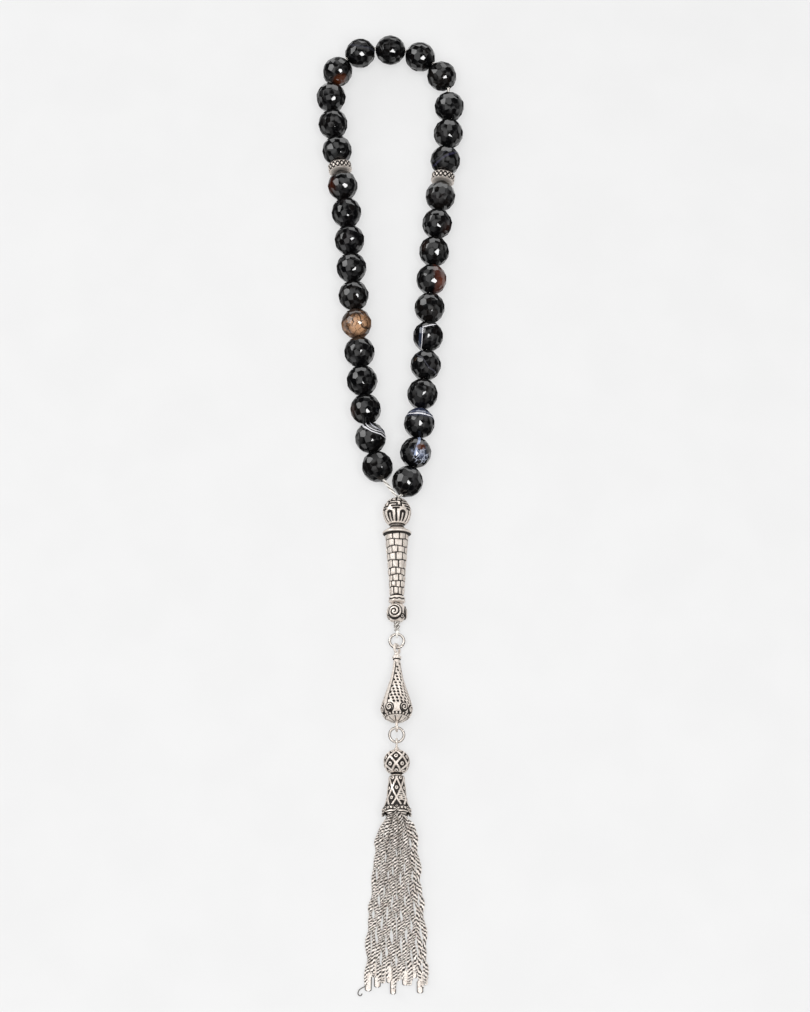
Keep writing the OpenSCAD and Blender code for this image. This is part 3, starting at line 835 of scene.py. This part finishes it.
# ---------------- drop
def add_drop():
    """Pear-shaped charm: three panels of pricked holes, smooth straps between them that end in curls."""
    profile = [(1.5, 0.55), (1.5, 0.8), (2.25, 0.82), (2.42, 1.2), (2.7, 1.36), (3.2, 1.36),
               (3.5, 1.2), (3.7, 1.0), (6.5, 1.3), (9.5, 1.9), (12.5, 2.8), (15.2, 3.7), (17.8, 4.5),
               (19.0, 4.74), (19.9, 4.76), (21.2, 4.45), (22.4, 3.7), (23.3, 2.5), (23.8, 1.4), (23.9, 0.3)]
    t, r = stations(profile, 0.075, 3)
    straps = np.radians([138, 239, 340])
    holes = []
    for left, panel in zip(straps, np.radians([158, 101, 101])):
        for j in range(13):
            at = 5.2 + 1.14 * j
            size = float(np.interp(at, t, r))
            room = panel * size - 1.3 - 0.1 * size
            count = int(room / 1.2)
            for k in range(max(count, 1) - (at > 18)):
                across = (k + 0.5 + (0.25 if j % 2 else -0.25)) * room / max(count, 1) - room / 2
                holes.append((left - panel / 2 + across / size, at, 0.32 + 0.06 * size / 4.7))

    def relief(angle, t, r):
        strap = np.min([np.abs(wrap(angle - s)) for s in straps], 0) * r
        width = 0.32 + 0.05 * r
        body = ramp(3.9, 5.0, t) * (1 - ramp(21.6, 22.4, t))
        ridge = (1 - ramp(width - 0.12, width + 0.18, strap)) * body
        beside = groove(np.abs(strap - width - 0.28), 0.24) * body * (1 - ramp(19.2, 19.8, t))
        raised = 0.16 * ridge - 0.12 * beside - 0.05 * body
        dark = 0.75 * beside
        for a, s, size in holes:
            spot = (np.abs(wrap(angle - a)) * r < 0.7) & (np.abs(t - s) < 0.7)
            if not spot.any():
                continue
            x, y = wrap(angle[spot] - a) * r[spot], t[spot] - s
            lean = np.hypot(x + 0.25 * y, y / 1.1)
            hole = 1 - ramp(size * 0.8, size * 1.35, lean)
            raised[spot] -= 0.34 * hole
            dark[spot] = np.maximum(dark[spot], hole)
        for place, hand in zip(np.radians([119, 60, 160, 22, 218, 262, 320]), (1, -1, -1, 1, 1, -1, 1)):
            x, y = wrap(angle - place) * r * hand, t - 20.6
            reach, turn = np.hypot(x, y), np.arctan2(y, x)
            arm = (reach / 0.76 + turn / TAU) % 1
            cut = groove(np.abs(arm - 0.5) * 0.76, 0.26) * ramp(0.1, 0.25, reach)
            disc = 1 - ramp(1.1, 1.25, reach)
            raised = raised * (1 - disc) + disc * (0.2 - 0.28 * cut)
            rim = groove(np.abs(reach - 1.3), 0.26)
            dark = np.maximum(dark * (1 - disc), np.maximum(disc * cut, rim))
            raised -= 0.1 * rim
        grains = np.abs(((angle * 22 / TAU) % 1) - 0.5) * TAU * r / 22
        bead = 1 - ramp(0.18, 0.42, np.hypot(grains, t - 22.35))
        band = groove(np.abs(t - 22.35), 0.5)
        raised += band * (0.22 * bead - 0.12)
        dark = np.maximum(dark, band * (1 - bead) * 0.9)
        collar = groove(np.abs(t - 3.62), 0.24) + groove(np.abs(t - 2.35), 0.16)
        petals = groove(np.abs((angle * 9 / TAU) % 1 - 0.5) * TAU * r / 9, 0.22) * ramp(22.8, 23.0, t)
        return raised - 0.12 * petals, np.clip(dark + 0.95 * collar + petals, 0, 1)

    shape = Shape()
    revolve(shape, DROP, t, r, 460, relief)
    eye_axis = DROP.direction([math.cos(math.radians(30)), math.sin(math.radians(30)), 0])
    shape.ring(DROP.at(0.0), np.cross(eye_axis, DROP.direction([0, 0, 1])),
               DROP.direction([0, 0, 1]), 1.45, 0.42, 72, 16)
    shape.ring(DROP.at(25.3), DROP.direction([0, 1, 0]), DROP.direction([0, 0, 1]), 1.35, 0.42, 72, 16)
    shape.build("drop_pear", SILVER, "drop", ["drop_charm"])


add_drop()


# ---------------- tassel head
def lattice(angle, v, per_v, r, repeats, strap, grain):
    """Diamonds of straps: v counts rows, per_v is their height in mm. Gives raised height and darkness."""
    a = angle * repeats / TAU
    p, q = a + 0.5 * v, a - 0.5 * v
    slope = np.hypot(repeats / (TAU * np.maximum(r, 0.8)), 0.5 / per_v)
    near = np.minimum(fold(p), fold(q)) / slope
    bar = 1 - ramp(0.5 * strap, strap, near)
    cp, cq = np.floor(p) + 0.5, np.floor(q) + 0.5
    x = (a - (cp + cq) / 2) * TAU * r / repeats
    y = (v - (cp - cq)) * per_v
    reach = np.hypot(x, y)
    ball = np.sqrt(np.clip(1 - (reach / grain) ** 2, 0, 1))
    pit = groove(reach, 0.18 * grain / 0.4)
    raised = np.maximum(0.32 * bar, 0.34 * ball - 0.14 * pit)
    dark = np.clip(1 - np.maximum(bar, ramp(0.25, 0.7, ball)) + 0.7 * pit * (ball > 0.5), 0, 1)
    return raised - 0.2, dark


def add_filigree_ball():
    radius, middle = 3.85, 5.85
    lat = np.linspace(-1.44, 1.44, 170)
    t, r = middle + radius * np.sin(lat), radius * np.cos(lat)

    def relief(angle, t, r):
        lat = np.arcsin(np.clip((t - middle) / radius, -1, 1))
        row = math.radians(35)
        raised, dark = lattice(angle - math.radians(93), lat / row - 0.5, radius * row, r, 6, 0.44, 0.7)
        pole = ramp(math.radians(60), math.radians(64), np.abs(lat))
        rim = groove(np.abs(np.abs(lat) - math.radians(62)), 0.05)
        cup = groove(np.abs(np.abs(lat) - math.radians(74)), 0.06)
        raised = raised * (1 - pole) + pole * (0.1 - 0.2 * cup)
        dark = dark * (1 - pole) + pole * (0.85 * (t > middle) + 0.7 * cup * (t < middle))
        return raised - 0.1 * rim, np.clip(dark + 0.6 * rim, 0, 1)

    shape = Shape()
    revolve(shape, HEAD, t, r, 400, relief, 0.45)
    shape.build("filigree_ball_straps", SILVER, "filigree_ball", ["filigree_ball"])


def add_cap():
    """Flared cap: rows of diamonds with a granule in each, small bars on one side, and a lobed rim."""
    outer = [(9.9, 0.6), (9.9, 1.9), (10.1, 2.15), (10.45, 2.32), (12, 2.45), (15, 2.72), (17.8, 3.2),
             (19.6, 3.72), (20.9, 4.08), (21.6, 4.22), (22.0, 4.2)]
    inner = [(21.95, 3.8), (21.2, 3.66), (19.6, 3.2), (17.8, 2.72), (15, 2.22), (12, 1.95), (10.8, 1.8),
             (10.75, 0.6)]
    t, r = stations(outer, 0.06, 2)

    def lobes(angle):
        return np.abs(np.cos(3 * angle))

    def relief(angle, t, r):
        v = (t - 11.0) / 3.1
        raised, dark = lattice(angle - math.radians(90), v, 3.1, r, 6, 0.37, 0.62)
        # Small level bars fill one side of the third row.
        side = (np.abs(wrap(angle - math.radians(58))) * r < 1.1) * (np.abs(t - 16.6) < 1.5)
        bars = np.abs((t / 0.7) % 1 - 0.5) * 0.7
        level = 1 - ramp(0.13, 0.25, bars)
        raised = np.where(side, np.maximum(raised, 0.26 * level - 0.14), raised)
        dark = np.where(side, np.minimum(dark, 1 - level), dark)
        top = 1 - ramp(10.3, 10.5, t)
        raised, dark = raised * (1 - top), dark * (1 - top) + 0.8 * groove(np.abs(t - 10.45), 0.2)
        lobe = lobes(angle)
        edge = 19.6 + 1.1 * (1 - lobe)
        rim = ramp(edge, edge + 0.3, t)
        line = groove(np.abs(t - edge), 0.3)
        vein = groove(np.abs(np.abs(t - edge - 1.6) - 0.36), 0.22) * ramp(0.15, 0.4, lobe)
        seeds = np.hypot(np.abs((angle * 24 / TAU) % 1 - 0.5) * TAU * r / 24, t - edge - 0.75)
        pearl = 1 - ramp(0.18, 0.42, seeds)
        raised = raised * (1 - rim) + rim * (0.34 * lobe + 0.22 * pearl - 0.06 - 0.16 * vein)
        ring = groove(np.abs(seeds - 0.46), 0.16)
        dark = np.maximum(dark * (1 - rim) + rim * np.maximum(ring, vein), line)
        return raised, np.clip(dark, 0, 1)

    dt, dr = np.gradient(t), np.gradient(r)
    length = np.hypot(dt, dr)
    around = 420
    angle = np.linspace(0, TAU, around, endpoint=False)[None, :]
    t2, r2 = t[:, None] + 0 * angle, r[:, None] + 0 * angle
    raised, dark = relief(angle + 0 * t2, t2, r2)
    lobe = lobes(angle)
    drop = ramp(19.5, 22.0, t2) * (1.3 * lobe - 0.95)
    tt, rr = t2 + raised * (-dr / length)[:, None] + drop, r2 + raised * (dt / length)[:, None]
    ti, ri = stations(inner, 0.25)
    ti = ti[:, None] + ramp(19.5, 22.0, ti)[:, None] * (1.3 * lobe - 0.95)
    tt = np.vstack([tt, ti])
    rr = np.vstack([rr, ri[:, None] + 0 * angle])
    dark = np.vstack([dark, 0 * ti + 0.9])
    a = np.vstack([angle] * len(tt))
    shape = Shape()
    shape.grid(HEAD.place(np.stack([rr * np.cos(a), rr * np.sin(a), tt], -1)), dark, (True, True))
    shape.build("tassel_cap_filigree", SILVER, "tassel_cap", ["tassel_cap"])


def add_pin():
    """Eye pin: its eye, its shaft with a wrapped neck, and the loop that carries the strands."""
    shape = Shape()
    along = HEAD.direction([0, 0, 1])
    shape.ring(HEAD.at(0.0), HEAD.direction([0, 1, 0]), along, 1.3, 0.35, 72, 16)
    down = np.linspace(1.2, 13.5, 60)
    shape.tube(HEAD.place(np.stack([0 * down, 0 * down, down], 1)), 0.39, 14)
    turn = np.linspace(0, 2.5 * TAU, 90)
    neck = HEAD.place(np.stack([0.55 * np.cos(turn), 0.55 * np.sin(turn), 1.45 + 0.32 * turn / TAU], 1))
    tangent = unit(np.gradient(neck, axis=0))
    a = np.linspace(0, TAU, 10, endpoint=False)[None, :]
    side = unit(np.cross(tangent, along))
    up = np.cross(side, tangent)
    shape.grid(neck[:, None] + 0.2 * about(a, side, up))
    shape.ring(HEAD.at(PIN_LOOP_T), HEAD.direction([1, 0, 0]), along, PIN_LOOP_R, 0.35, 72, 16)
    shape.build("tassel_pin_wire", WIRE, "tassel_head", ["tassel_pin"])


add_filigree_ball()
add_cap()
add_pin()

# ---------------- strands
STRANDS = 12
STRAND_TOP_Y = MOUTH[1] - 98.456
STRAND_TOP_Z = 4.13
ROW_STEP = 1.1
FAN = np.array([
    [0, 2, STRAND_TOP_Z - ROW_STEP, STRAND_TOP_Z, STRAND_TOP_Z + ROW_STEP],
    [1.6, 2.35, STRAND_TOP_Z - ROW_STEP - 0.1, STRAND_TOP_Z, STRAND_TOP_Z + ROW_STEP],
    [6, 5, 1.8, 3, 4.2], [12, 5.9, 0.75, 1.85, 2.95], [22, 6.7, 0.6, 1.4, 2.3],
    [36, 8, 0.6, 1.1, 1.6], [60, 8.6, 0.6, 0.9, 1.3]])
LINK_PITCH = 1.08
HALF_TWIST = 6.2
FLAT_END = 5.0


def side_and_row(k):
    """Where strand k is in the fan: -1 to 1 across, and row 0 to 2 from the floor up."""
    return -1 + 2 * (k - 1) / (STRANDS - 1), (k - 1) % 3


def strand_line(k):
    """Centre line of strand k, a smooth fan."""
    side, row = side_and_row(k)
    tip = 51 + 1.9 * math.sin(math.radians(137 * k)) + 0.8 * math.cos(math.radians(61 * k))
    points = []
    for s in (0, 1.6, 6, 12, 22, 36, tip):
        half = np.interp(s, FAN[:, 0], FAN[:, 1])
        z = np.interp(s, FAN[:, 0], FAN[:, 2 + row])
        points.append([TAIL_X + side * half, STRAND_TOP_Y - s, z])
    arc, path = smooth_path(points, 0.13)
    path[:, 2] = np.maximum(path[:, 2], 0.85 * ramp(2, 9, arc))
    return arc, path


def chain(shape, arc, path, across, normal, wide, thick, hand, phase):
    """Fine close-linked chain: small bumps with dark gaps, wound both ways round an oval that may twist."""
    around = np.linspace(0, TAU, 32, endpoint=False)[None, :]
    drift = (0.9 * np.sin(0.7 * arc + phase) + 0.6 * np.sin(2.3 * arc + 2 * phase))[:, None]
    along = TAU * arc[:, None] / LINK_PITCH + drift
    wave = 0.62 * np.cos(3 * around + hand * along + phase) \
        + 0.38 * np.cos(2 * around - hand * along + 3 * phase)
    size = 0.82 + 0.24 * wave
    size = size * (1 - 0.5 * (1 - ramp(0, 0.5, arc)) - 0.5 * ramp(arc[-1] - 0.5, arc[-1], arc))[:, None]
    rows = path[:, None] + (size * wide * np.cos(around))[..., None] * across[:, None] \
        + (size * thick * np.sin(around))[..., None] * normal[:, None]
    shape.close(shape.grid(rows, ramp(-0.12, 0.3, -wave)))


def ribbon(shape, path, across, normal, half_width, half_thick, cavity):
    """A flat strip with rounded edges, closed at both ends."""
    turn = np.linspace(0, TAU, 12, endpoint=False)
    rows = path[:, None] + (half_width[:, None] * np.cos(turn))[..., None] * across[:, None] \
        + (half_thick * np.sin(turn))[None, :, None] * normal[:, None]
    shape.close(shape.grid(rows, cavity))


def add_strand(k):
    rng = np.random.RandomState(100 + k)
    arc, path = strand_line(k)
    total = arc[-1]
    tangent, side, up = sweep_frames(path)
    flat_from = total - FLAT_END - rng.uniform(-0.6, 1.2)
    left = np.maximum(flat_from - arc, 0)
    turn = math.pi * left / HALF_TWIST + 0.6 * np.sin(left * 0.31 + k) + 2.4 * k
    flat = ramp(0, 2.5, left)
    turn = turn * flat + round(2.4 * k / math.pi) * math.pi * (1 - flat)
    across = np.cos(turn)[:, None] * side + np.sin(turn)[:, None] * up
    normal = np.cross(across, tangent)
    path = path + 0.25 * np.sin(arc * 0.62 + 2.1 * k)[:, None] * side
    shape = Shape()
    links = slice(0, len(arc) - 8)
    hand = rng.choice([-1, 1, 1])
    chain(shape, arc[links], path[links], across[links], normal[links], 0.95, 0.55, hand, 1.7 * k)
    # The last links are pressed flat: a plain bright tag, or a ladder of small rungs over a dark strip of
    # painted shade.
    end, way, wide, rise = path[-1], tangent[-1], side[-1], up[-1]
    length, width = FLAT_END * rng.uniform(0.6, 1.1), rng.uniform(0.5, 0.8)
    run = np.linspace(-length, -0.02, 40)
    taper = 1 - 0.7 * ramp(-0.4, 0, run) - 0.5 * (1 - ramp(run[0], run[0] + 0.6, run))
    if k % 5 in (2, 4):
        line = end + run[:, None] * way
        # The dark strip under the rungs is painted shade between them.
        ribbon(shape, line, np.broadcast_to(wide, line.shape), np.broadcast_to(rise, line.shape),
               0.9 * width * taper, 0.08, 0.9)
        for hand in (-1, 1):
            shape.tube(line + (hand * width * taper)[:, None] * wide + 0.14 * rise, 0.18, 8)
        for at in np.arange(-length + 0.3, -0.3, 0.52):
            rung = end + at * way + np.linspace(-width, width, 5)[:, None] * wide + 0.14 * rise
            shape.tube(rung, 0.15, 6)
    else:
        line = end + run[:, None] * way + 0.2 * rise
        ribbon(shape, line, np.broadcast_to(wide, line.shape), np.broadcast_to(rise, line.shape),
               width * taper, 0.2, 0.0)
        for hand in (-1, 1):
            shape.tube(line + (hand * (width + 0.05) * taper)[:, None] * wide - 0.06 * rise, 0.14, 8, 0.75)
    if k == 1:
        # One loose wire end curls out sideways.
        curl = np.array([[0, 0, 0], [-1.2, -0.5, 0.1], [-2.3, -1.3, 0.2], [-2.6, -2.4, 0.1],
                         [-1.9, -2.9, 0.1], [-1.4, -2.3, 0.2]])
        shape.tube(smooth_path(end + [-0.3, 1.6, 0] + curl, 0.12)[1], 0.16, 8, 0.6)
    shape.build(f"strand_{k:02d}_chain", CHAIN, f"strand_{k:02d}", [f"strand_{k:02d}"])


def add_strand_roots():
    """The top links of every strand, from the pin's loop down to the cap's mouth."""
    shape = Shape()
    loop_y = HEAD.at(PIN_LOOP_T + PIN_LOOP_R + 0.4)[1]
    for k in range(1, STRANDS + 1):
        side, row = side_and_row(k)
        start = np.array([TAIL_X + side * 1.35, loop_y, STRAND_TOP_Z + (row - 1) * 0.85])
        finish = strand_line(k)[1][0] + [0, 0.55, 0]
        arc, path = smooth_path([start, (start + finish) / 2, finish], 0.13)
        _, across, up = sweep_frames(path)
        chain(shape, arc, path, across, up, 0.45, 0.4, 1, k)
    shape.build("strand_top_links", CHAIN, "tassel_head", ["strand_roots"])


for number in range(1, STRANDS + 1):
    add_strand(number)
add_strand_roots()


# ---------------- floor, lights and surroundings
FLOOR_RADIUS, FLOOR_Z = 6.0, -0.00003


def add_floor():
    bm = bmesh.new()
    bmesh.ops.create_circle(bm, cap_ends=True, segments=96, radius=FLOOR_RADIUS)
    mesh = bpy.data.meshes.new("floor")
    bm.to_mesh(mesh)
    bm.free()
    floor = bpy.data.objects.new("floor", mesh)
    floor.location.z = FLOOR_Z
    bpy.context.scene.collection.objects.link(floor)
    g = Graph(bpy.data.materials.new("pale_floor"))
    speckle = g.noise(g.node("TexCoord").outputs["Object"], 40.0, 2.0)
    g.shade(Base_Color=g.mix(g.fit(speckle, 0.3, 0.7), rgb("828282"), rgb("858585")), Roughness=0.9,
            Specular_IOR_Level=0.0, Emission_Color=(1, 1, 1, 1), Emission_Strength=0.56)
    mesh.materials.append(g.owner)
    floor.visible_glossy = False


def add_light(name, place, size, radiance, glossy=True):
    """A rectangular lamp facing the middle of the object; its radiance is in W per m2 and sr."""
    data = bpy.data.lights.new(name, "AREA")
    data.shape = "RECTANGLE"
    data.size, data.size_y = size
    data.energy = radiance * math.pi * size[0] * size[1]
    lamp = bpy.data.objects.new(name, data)
    lamp.location = Vector(place)
    lamp.rotation_euler = (Vector(place) - Vector(AIM)).to_track_quat("Z", "Y").to_euler()
    lamp.visible_glossy = glossy
    bpy.context.scene.collection.objects.link(lamp)


def add_surroundings():
    """A studio: dark above the horizon, brighter overhead, with patches as from panels."""
    world = bpy.data.worlds.new("studio")
    bpy.context.scene.world = world
    g = Graph(world)
    where = g.node("TexCoord").outputs["Generated"]
    height = g.node("SeparateXYZ", {0: where}).outputs["Z"]
    sky = g.node("ValToRGB", {0: g.fit(height, -1.0, 1.0, soft=False)})
    levels = ((0.46, 0.55), (0.53, 0.12), (0.7, 0.2), (0.85, 0.55), (1.0, 0.7))
    for index, (at, level) in enumerate(levels):
        stop = sky.color_ramp.elements[index] if index < 2 else sky.color_ramp.elements.new(at)
        stop.position, stop.color = at, (level, level, level, 1)
    panels = g.noise(where, 4.2, 1.5, 0.5)
    g.shade(Color=sky.outputs["Color"], Strength=g.fit(panels, 0.42, 0.6, 0.06, 2.1))
    add_light("softbox_left", AIM + 0.95 * np.array([-0.774, 0.42, 0.472]), (0.5, 0.5), 3.6)
    add_light("panel_back", AIM + 1.0 * np.array([0.065, 0.98, 0.2]), (1.2, 0.35), 2.2)
    add_light("glint", GLINT, (0.1, 0.1), 19)
    add_light("fill_above", AIM + 1.2 * TOWARDS, (1.2, 1.2), 3.6, glossy=False)
    bpy.context.scene.view_settings.view_transform = "Standard"


add_floor()
add_surroundings()
